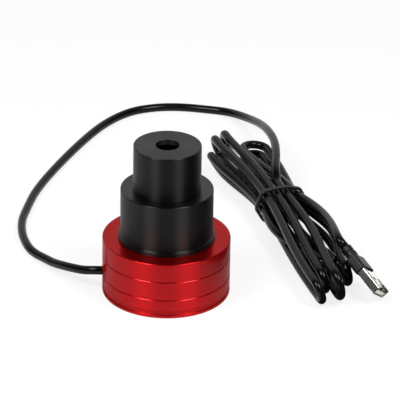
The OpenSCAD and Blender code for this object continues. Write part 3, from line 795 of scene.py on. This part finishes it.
# %% Turned finishes
rings_per_mm, ring_lean, ring_share = 2.5, 1.3, 0.6
cloud_scale, grain_scale = 90, 4000
gloss_change, hole_rough = 0.03, 0.9
ring_depth, ring_bump, ring_height = 0.004, 0.25, 0.7
upright = 0.25  # a quarter turn of the shader's rougher way
dull_hole_r = nose_hole_r + edge_round / 2


def turned_finish(name, dark, light, face_rough, wall_rough, **uniform):
    """Dyed turned aluminium, rougher on walls than on faces; rings and faint clouds change it a little."""
    material, shader, place = new_finish(name, Anisotropic_Rotation=upright, **uniform)
    x, y, z = (place.node("ShaderNodeSeparateXYZ", {}, {0: place}, out=i) for i in range(3))
    radius = (x * x + y * y) ** 0.5
    line = (z + radius * ring_lean) * (rings_per_mm / MM)
    rings = place.node("ShaderNodeTexNoise", {"noise_dimensions": "1D"}, {"W": line, "Scale": 1, "Detail": 3})
    facing = Wire(place.tree, place.socket.node.outputs["Normal"])
    upward = facing.node("ShaderNodeSeparateXYZ", {}, {0: facing}, out=2)
    wall = 1 - upward * upward
    in_hole = radius.math("LESS_THAN", radius, dull_hole_r * MM)
    clouds = noise(place, cloud_scale)
    grain = noise(place, grain_scale, detail=1)
    shade = rings * ring_share + clouds * (1 - ring_share)
    shade.mix(linear(*dark), linear(*light)).feed(shader.inputs["Base Color"])
    rough = wall * (wall_rough - face_rough) + (rings + clouds) * gloss_change + (face_rough - gloss_change)
    rough.math("MAXIMUM", rough, in_hole * hole_rough).feed(shader.inputs["Roughness"])
    relief = rings * ring_height + grain * (1 - ring_height)
    bump(place, relief, ring_bump, ring_depth * MM).feed(shader.inputs["Normal"])
    return material


black_anodised = turned_finish("black_anodised", (4, 4, 5), (8, 8, 9), 0.2, 0.41, Anisotropic=1.0,
                               Specular_IOR_Level=0.33)
red_anodised = turned_finish("red_anodised", (184, 12, 18), (196, 16, 23), 0.2, 0.46, Anisotropic=0.92,
                             Metallic=0.92, Specular_IOR_Level=1.0, Specular_Tint=(0.4, 0.3, 0.3, 1),
                             Coat_Weight=0.4, Coat_IOR=1.3, Coat_Roughness=0.1)
print("turned finishes:", black_anodised.name, red_anodised.name)

# %% [markdown]
# ## Vinyl, rubber and moulded plastic
# The cord's vinyl is satin and a little uneven, the band is dull rubber, and the plug's overmould is moulded
# plastic with a fine spark texture. They differ in colour, gloss and the size of their grain, so one function
# makes them all.

# %% Soft and moulded finishes
blotch_scale = 160
blotch_gloss, grain_gloss = 0.16, 0.08
grain_bump = 0.3


def moulded_finish(name, dark, light, rough, grain_scale, grain_depth, **uniform):
    """Plastic or rubber: clouds in colour and gloss, and a fine grain as bump."""
    material, shader, place = new_finish(name, **uniform)
    clouds = noise(place, blotch_scale)
    grain = noise(place, grain_scale, detail=3)
    clouds.mix(linear(*dark), linear(*light)).feed(shader.inputs["Base Color"])
    least_rough = rough - (blotch_gloss + grain_gloss) / 2
    (clouds * blotch_gloss + grain * grain_gloss + least_rough).feed(shader.inputs["Roughness"])
    bump(place, grain, grain_bump, grain_depth * MM).feed(shader.inputs["Normal"])
    return material


cord_vinyl = moulded_finish("cord_vinyl", (4, 4, 4), (7, 7, 7), 0.22, 1500, 0.01, Specular_IOR_Level=0.22)
band_rubber = moulded_finish("band_rubber", (6, 6, 6), (10, 10, 10), 0.45, 2500, 0.03)
plug_plastic = moulded_finish("plug_plastic", (11, 10, 9), (17, 15, 14), 0.4, 3500, 0.02, Specular_IOR_Level=0.3)
seal_rubber = moulded_finish("seal_rubber", (16, 16, 16), (26, 26, 26), 0.6, 2500, 0.03)
chip_black = moulded_finish("chip_black", (30, 30, 31), (40, 40, 41), 0.5, 5000, 0.01)
housing_ivory = moulded_finish("housing_ivory", (226, 220, 203), (236, 231, 216), 0.45, 2500, 0.01)
strap_white = moulded_finish("strap_white", (222, 222, 218), (232, 232, 229), 0.4, 2500, 0.01)
capacitor_tan = moulded_finish("capacitor_tan", (160, 134, 98), (178, 152, 114), 0.55, 4000, 0.01)
package_grey = moulded_finish("package_grey", (50, 50, 52), (62, 62, 64), 0.6, 4000, 0.01)
board_green = moulded_finish("board_green", (18, 84, 48), (24, 98, 58), 0.35, 2200, 0.01, Coat_Weight=0.5)
wire_red = moulded_finish("wire_red", (176, 24, 22), (192, 32, 30), 0.4, 2500, 0.01)
wire_white = moulded_finish("wire_white", (226, 226, 222), (236, 236, 233), 0.4, 2500, 0.01)
wire_green = moulded_finish("wire_green", (26, 118, 50), (34, 132, 60), 0.4, 2500, 0.01)
wire_black = moulded_finish("wire_black", (18, 18, 19), (28, 28, 29), 0.4, 2500, 0.01)
print("soft and moulded finishes ready")

# %% [markdown]
# ## Bare and plated metal, glass
# The plug's sleeve is nickel plated sheet, bright enough to mirror its surroundings. Screws, standoffs and
# contacts take the same recipe in other colours. The windows are clear glass.

# %% Metal and glass finishes
metal_clouds, metal_gloss = 400, 0.04
haze_scale, haze_gloss, glass_rough = 300, 0.03, 0.01
white = (1, 1, 1, 1)


def metal_finish(name, dark, light, rough):
    """Bare metal: faint clouds change its colour and gloss a little."""
    material, shader, place = new_finish(name, Metallic=1.0)
    clouds = noise(place, metal_clouds)
    clouds.mix(linear(*dark), linear(*light)).feed(shader.inputs["Base Color"])
    (clouds * metal_gloss + (rough - metal_gloss / 2)).feed(shader.inputs["Roughness"])
    return material


def glass_finish(name, tint):
    """Clear glass with a trace of haze."""
    material, shader, place = new_finish(name, Transmission_Weight=1.0, IOR=1.5)
    haze = noise(place, haze_scale)
    haze.mix(linear(*tint), white).feed(shader.inputs["Base Color"])
    (haze * haze_gloss + glass_rough).feed(shader.inputs["Roughness"])
    return material


plated_steel = metal_finish("plated_steel", (214, 210, 204), (228, 225, 220), 0.1)
bright_steel = metal_finish("bright_steel", (190, 190, 192), (208, 208, 210), 0.3)
dark_steel = metal_finish("dark_steel", (58, 58, 60), (74, 74, 76), 0.35)
brass = metal_finish("brass", (196, 160, 92), (212, 178, 108), 0.3)
gilt = metal_finish("gilt", (214, 172, 84), (228, 190, 102), 0.25)
silicon = metal_finish("silicon", (70, 80, 98), (84, 96, 118), 0.12)
window_glass = glass_finish("window_glass", (236, 246, 250))
print("metal and glass finishes ready")

# %% [markdown]
# ## Which finish goes where
# A finish replaces whatever material the solids came with. New pieces and solids are named in one table, so a
# reader can see the whole object at a glance.

# %% Dress the pieces
finishes = {
    black_anodised: [nose.name, barrel.name, "window_ring"],
    red_anodised: [body.name, cover.name],
    cord_vinyl: [cord.name, "cord_tail"],
    band_rubber: [tie.name],
    plug_plastic: [boot.name, grip.name],
    plated_steel: [shell.name],
    seal_rubber: ["nosepiece_o_ring", "barrel_o_ring", "window_gasket", "cord_grommet"],
    window_glass: ["window", "sensor_glass"],
    dark_steel: ["back_cover_screws"],
    brass: ["board_standoffs"],
    bright_steel: ["board_screws", "crystal_can"],
    board_green: ["sensor_board"],
    package_grey: ["sensor_package"],
    silicon: ["sensor_die"],
    chip_black: ["image_processor", "memory_chip", "regulator_chips"],
    capacitor_tan: ["capacitors"],
    housing_ivory: ["cord_socket", "cord_housing"],
    strap_white: ["strain_tie", "plug_tongue"],
    gilt: ["plug_contacts"],
    wire_red: ["lead_red"],
    wire_white: ["lead_white"],
    wire_green: ["lead_green"],
    wire_black: ["lead_black"],
}
for material, names in finishes.items():
    for name in names:
        mesh = bpy.data.objects[name].data
        mesh.materials.clear()
        mesh.materials.append(material)
dressed = {name for names in finishes.values() for name in names}
print("dressed", len(dressed), "pieces; bare:", [p.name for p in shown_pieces() if p.name not in dressed])

# %% [markdown]
# ## Table, light and background
# The object stands on a white table in a bright studio. Two soft boxes hang to the left and right of the camera:
# they draw the paired dashes of light on every rounded edge. The background is white for the camera, while
# the room in front of the table is dimmer, so that the black walls don't turn grey.

# %% Table
table_reach = 3.0
table_front, table_right = -0.155, 0.07
wing_from, wing_reach = 0.025, 0.06
table_drop = 0.02 * MM
table_glow, floor_glow = 0.8, 0.05
paper_dark, paper_light = (0.83, 0.83, 0.83, 1), (0.85, 0.85, 0.85, 1)
paper_clouds = 6

table_corners = np.array([[-1, -1], [1, -1], [1, 1], [-1, 1]]) * table_reach
table_mesh = bpy.data.meshes.new("table")
table_mesh.from_pydata([(x, y, -table_drop) for x, y in table_corners.tolist()], [], [(0, 1, 2, 3)])
table = bpy.data.objects.new("table", table_mesh)
bpy.context.scene.collection.objects.link(table)

# in a mirror the table ends in front and to the right; further back it reaches a wing's width further
table_paper, table_shader, table_place = new_finish("table_paper", Roughness=0.9)
table_tree = table_paper.node_tree
noise(table_place, paper_clouds).mix(paper_dark, paper_light).feed(table_shader.inputs["Base Color"])
table_rays = table_tree.nodes.new("ShaderNodeLightPath")
on_view, in_mirror = (Wire(table_tree, table_rays.outputs[n]) for n in ("Is Camera Ray", "Is Glossy Ray"))
table_x, table_y = (table_place.node("ShaderNodeSeparateXYZ", {}, {0: table_place}, out=i) for i in (0, 1))
in_front = table_y.math("LESS_THAN", table_y, table_front)
right_edge = table_y.math("GREATER_THAN", table_y, wing_from) * wing_reach + table_right
off_table = in_front.math("MAXIMUM", in_front, table_x.math("GREATER_THAN", table_x, right_edge))
glow = table_place.node("ShaderNodeEmission", {}, {"Color": white, "Strength": 1})
floor = table_place.node("ShaderNodeEmission", {}, {"Color": white, "Strength": floor_glow})
paper = Wire(table_tree, table_shader.outputs[0])
lit = on_view.node("ShaderNodeMixShader", {}, {0: on_view * table_glow, 1: paper, 2: glow})
ended = on_view.node("ShaderNodeMixShader", {}, {0: in_mirror * off_table, 1: lit, 2: floor})
ended.feed(table_tree.nodes["Material Output"].inputs["Surface"])
table_mesh.materials.append(table_paper)
print("table", table_reach * 2, "m wide")

# %% World and lamps
ambient = 0.5
room_dim = 0.08
backdrop = 0.72
behind_from, behind_to = 0.2, 0.8
lamp_side, lamp_up, lamp_away = 53, 57, 0.8
lamp_size, lamp_watts = 0.28, 3.7

world = bpy.data.worlds.new("studio")
bpy.context.scene.world = world
world.use_nodes = True
world_tree = world.node_tree
world_rays = world_tree.nodes.new("ShaderNodeLightPath")
seen, mirrored, through = (
    Wire(world_tree, world_rays.outputs[n]) for n in ("Is Camera Ray", "Is Glossy Ray", "Is Transmission Ray")
)
outward = Wire(world_tree, world_tree.nodes.new("ShaderNodeTexCoord").outputs["Generated"])
behind = outward.node("ShaderNodeSeparateXYZ", {}, {0: outward}, out=1)
room = {"Value": behind, "From Min": behind_from, "From Max": behind_to, "To Min": room_dim, "To Max": backdrop}
soft_behind = outward.node("ShaderNodeMapRange", {"interpolation_type": "SMOOTHSTEP"}, room)
direct = seen.math("MAXIMUM", seen, through)
strength = direct + (1 - direct) * (mirrored * soft_behind + (1 - mirrored) * ambient)
background = world_tree.nodes["Background"]
background.inputs["Color"].default_value = white
strength.feed(background.inputs["Strength"])


def soft_box_lamp(name, azimuth, elevation, distance, size, watts):
    """A square area lamp that faces the object from an angle round the camera's side."""
    a, e = math.radians(azimuth), math.radians(elevation)
    way = Vector((math.sin(a) * math.cos(e), -math.cos(a) * math.cos(e), math.sin(e)))
    light = bpy.data.lights.new(name, "AREA")
    light.size = size
    light.energy = watts
    lamp = bpy.data.objects.new(name, light)
    lamp.matrix_world = Matrix.Translation(way * distance) @ way.to_track_quat("Z", "Y").to_matrix().to_4x4()
    bpy.context.scene.collection.objects.link(lamp)
    return lamp


lamps = [soft_box_lamp(name, side * lamp_side, lamp_up, lamp_away, lamp_size, lamp_watts)
         for name, side in (("left_box", -1), ("right_box", 1))]
bpy.context.scene.view_settings.view_transform = "Standard"
print("lamps:", [lamp.name for lamp in lamps])
